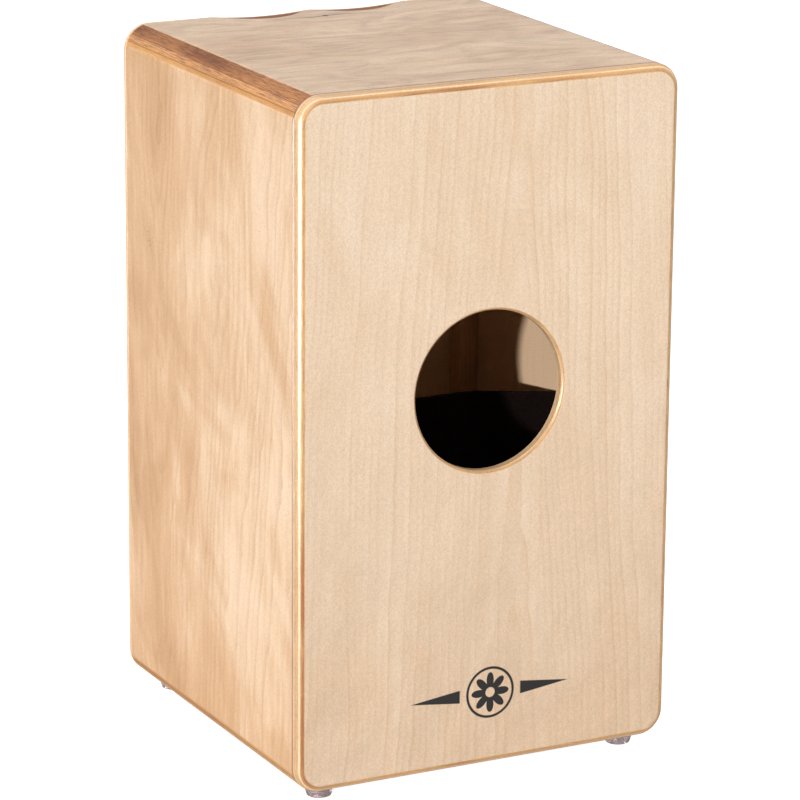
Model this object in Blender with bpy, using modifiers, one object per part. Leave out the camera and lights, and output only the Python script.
"""A string cajon: a plywood box drum that the player sits on.

The player faces -Y and strikes the thin tapa at the front, so left is +X. The rear panel with
the sound hole faces +Y and the seat faces +Z. The origin is on the floor, under the middle of
the box. Lengths are in metres.

Four steel strings run up behind the tapa. Each hangs by its ball from a slotted hanger at the
top and is crimped below a brass carriage at the bottom. A bolt through the base, turned from
underneath with a hex key, draws its carriage down and tightens that string.
"""
import math

import bmesh
import bpy
from mathutils import Vector

# The box
WIDTH = 0.298
DEPTH = 0.292
HEIGHT = 0.508
FOOT_HEIGHT = 0.009
CORNER_RADIUS = 0.019
CORNER_STEPS = 8
BOARD = 0.011
REAR_THICKNESS = 0.008
REAR_ROUND_OVER = 0.0065
TAPA_THICKNESS = 0.003
GAP = 0.0003
OVERRUN = 0.002
SAME_PLACE = 0.00001

# The sound hole in the rear panel
HOLE_HEIGHT = 0.287
HOLE_RADIUS = 0.058
HOLE_ROUND_OVER = 0.002

# The two finger scoops in the playing edge
SCOOP_OFFSET = 0.038
SCOOP_DEPTH = 0.0024
SCOOP_RUN = 0.026
SCOOP_HALF_WIDTH = 0.041
SCOOP_LENGTH = 0.10

# Battens glued into the corners, and the taller rail that guides the string carriages
BATTEN = 0.015
RAIL_HEIGHT = 0.050

# The black damper panel across the lower half of the chamber
DAMPER_TOP = 0.233
DAMPER_THICKNESS = 0.004
DAMPER_LEAF_Y = -0.029
DAMPER_LEAF_HALF = 0.072
DAMPER_BEND_RADIUS = 0.030
DAMPER_WING_ANGLE = math.radians(27.0)
CLEAT = 0.014
CLEAT_DROP = 0.008

# Feet, washers and their screws
FOOT_X = 0.122
FOOT_Y = 0.125
FOOT_TOP_RADIUS = 0.0108
FOOT_FLOOR_RADIUS = 0.0090
FOOT_LEDGE = 0.0055
FOOT_RECESS_RADIUS = 0.0050
FOOT_TOP_EDGE = 0.0010
FOOT_FLOOR_EDGE = 0.0008
FOOT_SCREW_HEAD_RADIUS = 0.0038
FOOT_SCREW_HEAD_HEIGHT = 0.0022
FOOT_SCREW_HEAD_EDGE = 0.0008
FOOT_SCREW_RADIUS = 0.0018
FOOT_SCREW_REACH = 0.009
FOOT_SCREW_POINT = 0.0030
FOOT_DRIVE_ARM = 0.0019
FOOT_DRIVE_WEB = 0.0005
FOOT_DRIVE_DEPTH = 0.0012
FOOT_DRIVE_TURN = math.radians(11)
WASHER_THICKNESS = 0.0010

# Screws that hold the tapa
TAPA_SCREW_X = 0.1302
TAPA_SCREW_HEIGHTS = (0.040, 0.145, 0.250, 0.355, 0.460)
TAPA_LOW_SCREW_X = 0.060
TAPA_LOW_SCREW_HEIGHT = 0.030
TAPA_SCREW_HEAD_RADIUS = 0.0040
TAPA_SCREW_RADIUS = 0.0016
TAPA_SCREW_LENGTH = 0.0155
TAPA_SCREW_POINT = 0.0025
TAPA_SCREW_SINK = 0.0002
TAPA_DRIVE_RADIUS = 0.0016
TAPA_DRIVE_DEPTH = 0.0018

# Strings, the bolts that tighten them, and the hangers that hold them
STRING_RADIUS = 0.0004
STRING_FEET_X = (-0.044, -0.024, 0.024, 0.044)
STRING_HEADS_X = (-0.066, -0.034, 0.034, 0.066)
STRING_FOOT_Y = -0.1235
STRING_HEAD_Y = -0.1410
BALL_RADIUS = 0.0020
FERRULE_RADIUS = 0.0016
FERRULE_LENGTH = 0.0040
BOLT_Y = -0.1130
BOLT_RADIUS = 0.0030
BOLT_HEAD_RADIUS = 0.0050
BOLT_HEAD_LENGTH = 0.0058
BOLT_HEAD_EDGE = 0.0004
BOLT_TOP = 0.0680
BOLT_TIP_RUN = 0.0010
BOLT_TIP_RADIUS = 0.0022
BOLT_KEY_RADIUS = 0.0029
BOLT_KEY_DEPTH = 0.0032
CARRIAGE_LOW = 0.0480
CARRIAGE_EYE_RADIUS = 0.0010
CARRIAGE_SIZE = Vector((0.0120, 0.0220, 0.0080))
HANGER_THICKNESS = 0.0020
HANGER_LIP = 0.4700
HANGER_X = 0.050
HANGER_HALF = 0.026
HANGER_SLOT = 0.0009
HANGER_CLEARANCE = 0.0015
HANGER_SCREW_RADIUS = 0.0018
HANGER_SCREW_HEAD_RADIUS = 0.0032
HANGER_SCREW_CROWN = 0.0021
HANGER_SCREW_LENGTH = 0.0125
HANGER_SCREW_POINT = 0.0025
HANGER_DRIVE_HALF = 0.0025
HANGER_DRIVE_WEB = 0.0004

SIDE = WIDTH / 2
FRONT = -DEPTH / 2
REAR = DEPTH / 2
FLOOR = FOOT_HEIGHT
INNER_FRONT = FRONT + TAPA_THICKNESS + GAP
INNER_REAR = REAR - REAR_THICKNESS - GAP
INNER_SIDE = SIDE - BOARD - GAP
INNER_LOW = FLOOR + BOARD + GAP
INNER_HIGH = HEIGHT - BOARD - GAP
BATTEN_BACK = INNER_FRONT + BATTEN

DOWN_Y = (math.radians(90), 0, 0)
UP_Y = (math.radians(-90), 0, 0)


def clear_scene():
    """Remove every object that the scene starts with."""
    for thing in list(bpy.data.objects):
        bpy.data.objects.remove(thing, do_unlink=True)


def new_collection(name):
    """Make a collection and link it to the scene."""
    collection = bpy.data.collections.new(name)
    bpy.context.scene.collection.children.link(collection)
    return collection


def finish(name, color, roughness, metallic=0.0):
    """Make a Principled material."""
    material = bpy.data.materials.new(name)
    material.use_nodes = True
    shader = material.node_tree.nodes["Principled BSDF"]
    shader.inputs["Base Color"].default_value = (*color, 1.0)
    shader.inputs["Roughness"].default_value = roughness
    shader.inputs["Metallic"].default_value = metallic
    return material


clear_scene()
PARTS = new_collection("cajon")
CUTTERS = new_collection("cutters")

MAPLE = finish("maple_veneer", (0.80, 0.62, 0.42), 0.35)
BIRCH = finish("birch_veneer", (0.83, 0.61, 0.38), 0.35)
CURLY_BIRCH = finish("curly_birch", (0.68, 0.51, 0.37), 0.35)
PINE = finish("pine", (0.66, 0.46, 0.26), 0.60)
FELT = finish("black_felt", (0.012, 0.009, 0.009), 0.95)
CLEAR_RUBBER = finish("clear_rubber", (0.55, 0.52, 0.50), 0.25)
STEEL = finish("zinc_steel", (0.62, 0.62, 0.63), 0.30, 1.0)
STRING_STEEL = finish("string_steel", (0.70, 0.69, 0.66), 0.25, 1.0)
BLACK_STEEL = finish("black_steel", (0.03, 0.03, 0.035), 0.40, 1.0)
BRASS = finish("brass", (0.72, 0.53, 0.22), 0.30, 1.0)


def place(name, mesh, material, location=(0, 0, 0), rotation=(0, 0, 0)):
    """Put a mesh in the scene as one named part, or as a hidden cutter if it has no material."""
    thing = bpy.data.objects.new(name, mesh)
    thing.location = location
    thing.rotation_euler = rotation
    if material:
        mesh.materials.append(material)
        PARTS.objects.link(thing)
    else:
        thing.hide_render = True
        thing.display_type = "WIRE"
        CUTTERS.objects.link(thing)
    return thing


def box(name, low, high, material=None):
    """A box between two opposite corners, its origin at its middle."""
    low, high = Vector(low), Vector(high)
    mesh = bpy.data.meshes.new(name)
    shape = bmesh.new()
    bmesh.ops.create_cube(shape, size=1.0)
    bmesh.ops.scale(shape, vec=high - low, verts=shape.verts)
    shape.to_mesh(mesh)
    shape.free()
    return place(name, mesh, material, (low + high) / 2)


def rod(name, radius, low, high, material=None, sides=24):
    """An upright cylinder from the point low to the height high."""
    mesh = bpy.data.meshes.new(name)
    shape = bmesh.new()
    length = high - low[2]
    bmesh.ops.create_cone(shape, cap_ends=True, segments=sides, radius1=radius, radius2=radius,
                          depth=length)
    shape.to_mesh(mesh)
    shape.free()
    return place(name, mesh, material, (low[0], low[1], low[2] + length / 2))


def turned(name, profile, material=None, location=(0, 0, 0), rotation=(0, 0, 0), steps=24):
    """A turned shape: (radius, height) points that run down the outer side of the profile."""
    mesh = bpy.data.meshes.new(name)
    corners = [(radius, 0.0, height) for radius, height in profile]
    edges = [(i, i + 1) for i in range(len(corners) - 1)]
    if profile[0][0] > 0:
        edges.append((len(corners) - 1, 0))
    mesh.from_pydata(corners, edges, [])
    thing = place(name, mesh, material, location, rotation)
    screw = thing.modifiers.new("turn", "SCREW")
    screw.steps = steps
    screw.render_steps = steps
    screw.use_merge_vertices = True
    screw.merge_threshold = SAME_PLACE
    return thing


def prism(name, outline, thickness, material=None, location=(0, 0, 0), rotation=(0, 0, 0)):
    """A flat outline with a thickness along its local Z, centred on its own plane."""
    curve = bpy.data.curves.new(name, "CURVE")
    curve.dimensions = "2D"
    curve.fill_mode = "BOTH"
    curve.extrude = thickness / 2
    spline = curve.splines.new("POLY")
    spline.points.add(len(outline) - 1)
    for point, (x, y) in zip(spline.points, outline):
        point.co = (x, y, 0.0, 1.0)
    spline.use_cyclic_u = True
    guide = bpy.data.objects.new(name + "_outline", curve)
    bpy.context.scene.collection.objects.link(guide)
    bpy.context.view_layer.update()
    graph = bpy.context.evaluated_depsgraph_get()
    mesh = bpy.data.meshes.new_from_object(guide.evaluated_get(graph))
    bpy.data.objects.remove(guide)
    shape = bmesh.new()
    shape.from_mesh(mesh)
    bmesh.ops.remove_doubles(shape, verts=shape.verts, dist=0.000001)
    bmesh.ops.recalc_face_normals(shape, faces=shape.faces)
    shape.to_mesh(mesh)
    shape.free()
    mesh.name = name
    return place(name, mesh, material, location, rotation)


def cut(thing, *cutters):
    """Take cutters away from a part."""
    for cutter in cutters:
        boolean = thing.modifiers.new("cut_" + cutter.name, "BOOLEAN")
        boolean.operation = "DIFFERENCE"
        boolean.solver = "EXACT"
        boolean.object = cutter


def corner_arc(sign_x, sign_z, start, stop):
    """Points on one rounded corner of the box's outline, from angle start to stop (degrees)."""
    centre_x = sign_x * (SIDE - CORNER_RADIUS)
    low, high = FLOOR + CORNER_RADIUS, HEIGHT - CORNER_RADIUS
    centre_z = high if sign_z > 0 else low
    points = []
    for i in range(CORNER_STEPS + 1):
        angle = math.radians(start + (stop - start) * i / CORNER_STEPS)
        x = centre_x + CORNER_RADIUS * math.cos(angle)
        z = centre_z + CORNER_RADIUS * math.sin(angle)
        points.append((x, z))
    return points


def outline_angle(depth):
    """Angle above the horizontal (degrees) at which the corner arc lies depth below its crown."""
    return math.degrees(math.asin((CORNER_RADIUS - depth) / CORNER_RADIUS))


def full_outline():
    """The rounded rectangle that the tapa and the rear panel share, in X and Z."""
    points = corner_arc(1, 1, 0, 90)
    points += corner_arc(-1, 1, 90, 180)
    points += corner_arc(-1, -1, 180, 270)
    points += corner_arc(1, -1, 270, 360)
    return points


def make_seat_and_base():
    """The two boards that overlap the sides, with the box's rounding on their ends."""
    edge = outline_angle(BOARD)
    middle_y = (INNER_FRONT + INNER_REAR) / 2
    length = INNER_REAR - INNER_FRONT
    upper = corner_arc(1, 1, edge, 90) + corner_arc(-1, 1, 90, 180 - edge)
    lower = corner_arc(-1, -1, 180 + edge, 270) + corner_arc(1, -1, 270, 360 - edge)
    seat = prism("seat_panel", upper, length, CURLY_BIRCH, (0, middle_y, 0), DOWN_Y)
    base = prism("base_panel", lower, length, BIRCH, (0, middle_y, 0), DOWN_Y)
    return seat, base


def make_sides():
    """The two side boards, between the seat and the base."""
    edge = outline_angle(BOARD + GAP)
    middle_y = (INNER_FRONT + INNER_REAR) / 2
    length = INNER_REAR - INNER_FRONT
    inner = SIDE - BOARD
    right = corner_arc(1, -1, 360 - edge, 360) + corner_arc(1, 1, 0, edge)
    right += [(inner, INNER_HIGH), (inner, INNER_LOW)]
    left = [(-x, z) for x, z in reversed(right)]
    prism("side_panel_left", right, length, BIRCH, (0, middle_y, 0), DOWN_Y)
    prism("side_panel_right", left, length, BIRCH, (0, middle_y, 0), DOWN_Y)


def make_tapa():
    """The thin playing face, glued over the front edge of the box."""
    middle = FRONT + TAPA_THICKNESS / 2
    return prism("tapa", full_outline(), TAPA_THICKNESS, MAPLE, (0, middle, 0), DOWN_Y)


def make_rear_panel():
    """The rear panel, its outer edge rounded over, with the sound hole through it."""
    middle = REAR - REAR_THICKNESS / 2
    panel = prism("rear_panel", full_outline(), REAR_THICKNESS, MAPLE, (0, middle, 0), DOWN_Y)
    shape = bmesh.new()
    shape.from_mesh(panel.data)
    outer = -REAR_THICKNESS / 2
    rim = [edge for edge in shape.edges
           if len(edge.link_faces) == 2
           and all(abs(corner.co.z - outer) < SAME_PLACE for corner in edge.verts)
           and edge.calc_face_angle() > math.radians(45)]
    bmesh.ops.bevel(shape, geom=rim, offset=REAR_ROUND_OVER, segments=4, profile=0.5,
                    affect="EDGES")
    shape.to_mesh(panel.data)
    shape.free()
    steps = 4
    flare = []
    for i in range(steps + 1):
        angle = math.radians(90 * i / steps)
        radius = HOLE_RADIUS + HOLE_ROUND_OVER * (1 - math.sin(angle))
        flare.append((radius, -HOLE_ROUND_OVER * (1 - math.cos(angle))))
    profile = [(0, OVERRUN), (flare[0][0], OVERRUN)] + flare
    profile += [(HOLE_RADIUS, -REAR_THICKNESS - OVERRUN), (0, -REAR_THICKNESS - OVERRUN)]
    cutter = turned("sound_hole_cutter", profile, None, (0, REAR, HOLE_HEIGHT), UP_Y, steps=56)
    cut(panel, cutter)


def make_scoops():
    """Two large shallow cylinders that dip towards the front and scoop out the playing edge."""
    radius = (SCOOP_HALF_WIDTH ** 2 + SCOOP_DEPTH ** 2) / (2 * SCOOP_DEPTH)
    slope = math.atan2(SCOOP_DEPTH, SCOOP_RUN)
    scoops = []
    for side, sign in (("left", 1), ("right", -1)):
        mesh = bpy.data.meshes.new("scoop_" + side)
        shape = bmesh.new()
        bmesh.ops.create_cone(shape, cap_ends=True, segments=180, radius1=radius, radius2=radius,
                              depth=SCOOP_LENGTH)
        shape.to_mesh(mesh)
        shape.free()
        height = HEIGHT - SCOOP_DEPTH + radius / math.cos(slope)
        tilt = (math.radians(90) + slope, 0, 0)
        scoops.append(place("scoop_" + side, mesh, None, (sign * SCOOP_OFFSET, FRONT, height), tilt))
    return scoops


def make_battens():
    """Square battens in the corners; the tapa is screwed to the four at the front."""
    fronts = {"front": (INNER_FRONT, BATTEN_BACK), "rear": (INNER_REAR - BATTEN, INNER_REAR)}
    outer = INNER_SIDE
    inner = INNER_SIDE - BATTEN
    across = inner - GAP
    made = {}
    for place_name, (y0, y1) in fronts.items():
        low = RAIL_HEIGHT if place_name == "front" else BATTEN
        low_name = "string_rail" if place_name == "front" else "rear_batten_bottom"
        made[place_name + "_left"] = box(place_name + "_batten_left", (inner, y0, INNER_LOW),
                                         (outer, y1, INNER_HIGH), PINE)
        made[place_name + "_right"] = box(place_name + "_batten_right", (-outer, y0, INNER_LOW),
                                          (-inner, y1, INNER_HIGH), PINE)
        box(place_name + "_batten_top", (-across, y0, INNER_HIGH - BATTEN),
            (across, y1, INNER_HIGH), PINE)
        made[low_name] = box(low_name, (-across, y0, INNER_LOW),
                             (across, y1, INNER_LOW + low), PINE)
    return made


def damper_path():
    """Half of the damper panel's centre line in plan: middle leaf, bend, then a wing."""
    steps = 5
    points = [Vector((0.0, DAMPER_LEAF_Y))]
    for i in range(steps + 1):
        angle = DAMPER_WING_ANGLE * i / steps
        x = DAMPER_LEAF_HALF + DAMPER_BEND_RADIUS * math.sin(angle)
        y = DAMPER_LEAF_Y + DAMPER_BEND_RADIUS * (1 - math.cos(angle))
        points.append(Vector((x, y)))
    last = points[-1]
    run = INNER_SIDE - last.x
    points.append(Vector((INNER_SIDE, last.y + run * math.tan(DAMPER_WING_ANGLE))))
    return points


def offset_path(points, distance):
    """The path moved sideways, towards the rear when distance is above zero."""
    moved = []
    for i, point in enumerate(points):
        before = points[max(i - 1, 0)]
        after = points[min(i + 1, len(points) - 1)]
        if i == len(points) - 1:
            rise = distance / math.cos(DAMPER_WING_ANGLE)
            moved.append(Vector((point.x, point.y + rise)))
            continue
        along = (after - before).normalized() if i else Vector((1.0, 0.0))
        moved.append(point + Vector((-along.y, along.x)) * distance)
    return moved


def make_damper():
    """The bent black panel and the two cleats that hold its wings to the sides."""
    path = damper_path()
    half = DAMPER_THICKNESS / 2
    rear_face = offset_path(path, half)
    front_face = offset_path(path, -half)
    mirror = [Vector((-point.x, point.y)) for point in reversed(rear_face[1:])]
    outline = mirror + rear_face
    outline += list(reversed(front_face))
    outline += [Vector((-point.x, point.y)) for point in front_face[1:]]
    outline.reverse()
    height = DAMPER_TOP - INNER_LOW
    middle = (DAMPER_TOP + INNER_LOW) / 2
    prism("damper_panel", outline, height, FELT, (0, 0, middle))
    wing_end = front_face[-1]
    slope = math.tan(DAMPER_WING_ANGLE)
    near_y = wing_end.y - GAP * 2
    far_y = near_y - CLEAT * slope
    back_y = far_y - CLEAT
    inner = INNER_SIDE - CLEAT
    cleat = [(inner, back_y), (INNER_SIDE, back_y), (INNER_SIDE, near_y), (inner, far_y)]
    flipped = [(-x, y) for x, y in reversed(cleat)]
    middle -= CLEAT_DROP / 2
    prism("damper_cleat_left", cleat, height - CLEAT_DROP, PINE, (0, 0, middle))
    prism("damper_cleat_right", flipped, height - CLEAT_DROP, PINE, (0, 0, middle))


def make_feet(base):
    """Four clear rubber feet, each held by a screw and a washer inside its recess."""
    shank = FOOT_SCREW_RADIUS
    bore = shank + GAP
    top = FOOT_HEIGHT - GAP
    edge_run = (FOOT_TOP_RADIUS - FOOT_FLOOR_RADIUS) / FOOT_HEIGHT * FOOT_TOP_EDGE
    floor_edge = FOOT_FLOOR_RADIUS + edge_run
    foot = [(bore, top), (FOOT_TOP_RADIUS - FOOT_TOP_EDGE, top),
            (FOOT_TOP_RADIUS, top - FOOT_TOP_EDGE), (floor_edge, FOOT_FLOOR_EDGE),
            (floor_edge - FOOT_FLOOR_EDGE, 0.0), (FOOT_RECESS_RADIUS, 0.0),
            (FOOT_RECESS_RADIUS, FOOT_LEDGE), (bore, FOOT_LEDGE)]
    washer_top = FOOT_LEDGE - GAP
    washer_low = washer_top - WASHER_THICKNESS
    washer_edge = FOOT_RECESS_RADIUS - GAP * 2
    washer = [(bore, washer_top), (washer_edge, washer_top), (washer_edge, washer_low),
              (bore, washer_low)]
    head_top = washer_low - GAP
    head_low = head_top - FOOT_SCREW_HEAD_HEIGHT
    rim = FOOT_SCREW_HEAD_RADIUS
    tip = FOOT_HEIGHT + FOOT_SCREW_REACH
    screw = [(0, tip), (shank / 2, tip - FOOT_SCREW_POINT / 2), (shank, tip - FOOT_SCREW_POINT),
             (shank, head_top), (rim, head_top), (rim, head_low + FOOT_SCREW_HEAD_EDGE),
             (rim - FOOT_SCREW_HEAD_EDGE, head_low), (0, head_low)]
    arm = FOOT_DRIVE_ARM
    web = FOOT_DRIVE_WEB
    cross = [(arm, web), (web, web), (web, arm), (-web, arm), (-web, web), (-arm, web),
             (-arm, -web), (-web, -web), (-web, -arm), (web, -arm), (web, -web), (arm, -web)]
    corners = (("rear_left", 1, 1), ("rear_right", -1, 1), ("front_left", 1, -1),
               ("front_right", -1, -1))
    for corner, sign_x, sign_y in corners:
        x, y = sign_x * FOOT_X, sign_y * FOOT_Y
        turned("foot_" + corner, foot, CLEAR_RUBBER, (x, y, 0), steps=20)
        turned("foot_washer_" + corner, washer, STEEL, (x, y, 0), steps=16)
        made = turned("foot_screw_" + corner, screw, STEEL, (x, y, 0), steps=12)
        drive = prism("foot_drive_" + corner, cross, 2 * FOOT_DRIVE_DEPTH, None,
                      (x, y, head_low), (0, 0, FOOT_DRIVE_TURN))
        cut(made, drive)
        hole = rod("foot_hole_" + corner, bore, (x, y, 0), tip + GAP * 2, sides=12)
        cut(base, hole)


def make_tapa_screws(tapa, battens):
    """Countersunk screws down both sides of the tapa and two at its foot."""
    head = TAPA_SCREW_HEAD_RADIUS
    shank = TAPA_SCREW_RADIUS
    sink = TAPA_SCREW_SINK
    neck = -sink - (head - shank)
    point = TAPA_SCREW_POINT - TAPA_SCREW_LENGTH
    screw = [(0, -sink), (head, -sink), (shank, neck), (shank, point), (0, -TAPA_SCREW_LENGTH)]
    room = [(0, OVERRUN), (head + GAP, OVERRUN), (head + GAP, -sink), (shank + GAP, neck),
            (shank + GAP, -TAPA_SCREW_LENGTH - GAP), (0, -TAPA_SCREW_LENGTH - GAP)]
    rows = []
    for side, sign in (("left", 1), ("right", -1)):
        for number, height in enumerate(TAPA_SCREW_HEIGHTS, start=1):
            name = "%s_%d" % (side, number)
            rows.append((name, sign * TAPA_SCREW_X, height, battens["front_" + side]))
        rows.append((side + "_low", sign * TAPA_LOW_SCREW_X, TAPA_LOW_SCREW_HEIGHT,
                     battens["string_rail"]))
    for name, x, height, batten in rows:
        made = turned("tapa_screw_" + name, screw, BLACK_STEEL, (x, FRONT, height), DOWN_Y,
                      steps=12)
        mesh = bpy.data.meshes.new("tapa_drive_" + name)
        shape = bmesh.new()
        bmesh.ops.create_cone(shape, cap_ends=True, segments=6, radius1=TAPA_DRIVE_RADIUS,
                              radius2=TAPA_DRIVE_RADIUS, depth=2 * TAPA_DRIVE_DEPTH)
        shape.to_mesh(mesh)
        shape.free()
        drive = place("tapa_drive_" + name, mesh, None, (x, FRONT, height), DOWN_Y)
        cut(made, drive)
        hole = turned("tapa_hole_" + name, room, None, (x, FRONT, height), DOWN_Y, steps=12)
        cut(tapa, hole)
        cut(batten, hole)


def make_strings(base):
    """Four strings, each with its tension bolt and the carriage that the bolt draws down."""
    bolt_low = FLOOR + GAP
    head_top = bolt_low + BOLT_HEAD_LENGTH
    clear = BOLT_RADIUS + GAP
    bolt = [(0, BOLT_TOP), (BOLT_TIP_RADIUS, BOLT_TOP), (BOLT_RADIUS, BOLT_TOP - BOLT_TIP_RUN),
            (BOLT_RADIUS, head_top), (BOLT_HEAD_RADIUS, head_top),
            (BOLT_HEAD_RADIUS, bolt_low + BOLT_HEAD_EDGE),
            (BOLT_HEAD_RADIUS - BOLT_HEAD_EDGE, bolt_low), (0, bolt_low)]
    room = BOLT_HEAD_RADIUS + 2 * GAP
    above = INNER_LOW + OVERRUN
    below = FLOOR - OVERRUN
    passage = [(0, above), (clear, above), (clear, head_top + GAP), (room, head_top + GAP),
               (room, below), (0, below)]
    carriage_front = BATTEN_BACK + GAP
    for number, (foot_x, head_x) in enumerate(zip(STRING_FEET_X, STRING_HEADS_X), start=1):
        made = turned("tension_bolt_%d" % number, bolt, BLACK_STEEL, (foot_x, BOLT_Y, 0), steps=16)
        key = rod("bolt_key_%d" % number, BOLT_KEY_RADIUS, (foot_x, BOLT_Y, 0),
                  bolt_low + BOLT_KEY_DEPTH, sides=6)
        cut(made, key)
        bore = turned("bolt_passage_%d" % number, passage, None, (foot_x, BOLT_Y, 0), steps=16)
        cut(base, bore)
        half = CARRIAGE_SIZE.x / 2
        top = CARRIAGE_LOW + CARRIAGE_SIZE.z
        carriage = box("string_carriage_%d" % number, (foot_x - half, carriage_front, CARRIAGE_LOW),
                       (foot_x + half, carriage_front + CARRIAGE_SIZE.y, top), BRASS)
        under = CARRIAGE_LOW - OVERRUN
        shaft = rod("carriage_bore_%d" % number, clear, (foot_x, BOLT_Y, under), top + OVERRUN,
                    sides=16)
        eye = rod("carriage_eye_%d" % number, CARRIAGE_EYE_RADIUS,
                  (foot_x, STRING_FOOT_Y, under), top + OVERRUN, sides=12)
        cut(carriage, shaft, eye)
        start = Vector((foot_x, STRING_FOOT_Y, CARRIAGE_LOW))
        end = Vector((head_x, STRING_HEAD_Y, HANGER_LIP))
        run = end - start
        reach = run.length + GAP
        wire = STRING_RADIUS
        ball = BALL_RADIUS
        ferrule = FERRULE_RADIUS
        profile = [(0, reach + 2 * ball), (ball * 0.7, reach + 1.7 * ball), (ball, reach + ball),
                   (ball * 0.7, reach + 0.3 * ball), (wire, reach), (wire, -GAP), (ferrule, -GAP),
                   (ferrule, -GAP - FERRULE_LENGTH), (0, -GAP - FERRULE_LENGTH)]
        string = turned("string_%d" % number, profile, STRING_STEEL, steps=8)
        string.rotation_mode = "QUATERNION"
        string.rotation_quaternion = run.to_track_quat("Z", "Y")
        string.parent = carriage
        string.location = start - Vector(carriage.location)


def make_hangers():
    """Two slotted steel angles under the top batten, which hold the strings' balls."""
    front = INNER_FRONT + GAP
    back = BATTEN_BACK + GAP
    low = HANGER_LIP - HANGER_THICKNESS
    top = INNER_HIGH - HANGER_CLEARANCE
    section = [(front, low), (back + HANGER_THICKNESS, low), (back + HANGER_THICKNESS, top),
               (back, top), (back, HANGER_LIP), (front, HANGER_LIP)]
    upright = (math.radians(90), 0, math.radians(90))
    bore = HANGER_SCREW_RADIUS
    rim = HANGER_SCREW_HEAD_RADIUS
    crown = HANGER_SCREW_CROWN
    length = HANGER_SCREW_LENGTH
    screw_z = INNER_HIGH - BATTEN / 2
    face = back + HANGER_THICKNESS
    screw = [(0, crown), (0.7 * rim, 0.9 * crown), (rim, 0.4 * crown), (rim, GAP), (bore, GAP),
             (bore, HANGER_SCREW_POINT - length), (0, -length)]
    room = [(0, OVERRUN), (bore + GAP, OVERRUN), (bore + GAP, -length - 2 * GAP),
            (0, -length - 2 * GAP)]
    arm = HANGER_DRIVE_HALF
    web = HANGER_DRIVE_WEB
    groove = [(-arm, -web), (arm, -web), (arm, web), (-arm, web)]
    batten = bpy.data.objects["front_batten_top"]
    for side, sign in (("left", 1), ("right", -1)):
        middle = sign * HANGER_X
        hanger = prism("string_hanger_" + side, section, 2 * HANGER_HALF, STEEL, (middle, 0, 0),
                       upright)
        for head_x in STRING_HEADS_X:
            if head_x * sign > 0:
                slot = box("hanger_slot_%s_%d" % (side, round(abs(head_x) * 1000)),
                           (head_x - HANGER_SLOT, front - OVERRUN, low - OVERRUN),
                           (head_x + HANGER_SLOT, STRING_HEAD_Y + HANGER_SLOT,
                            HANGER_LIP + OVERRUN))
                cut(hanger, slot)
        made = turned("hanger_screw_" + side, screw, STEEL, (middle, face, screw_z), UP_Y, steps=16)
        key = prism("hanger_drive_" + side, groove, crown, None, (middle, face + crown, screw_z),
                    UP_Y)
        cut(made, key)
        hole = turned("hanger_hole_" + side, room, None, (middle, face, screw_z), UP_Y, steps=16)
        cut(hanger, hole)
        cut(batten, hole)


def main():
    """Make every part."""
    seat, base = make_seat_and_base()
    make_sides()
    tapa = make_tapa()
    make_rear_panel()
    scoops = make_scoops()
    cut(seat, *scoops)
    cut(tapa, *scoops)
    battens = make_battens()
    make_damper()
    make_feet(base)
    make_tapa_screws(tapa, battens)
    make_strings(base)
    make_hangers()


main()
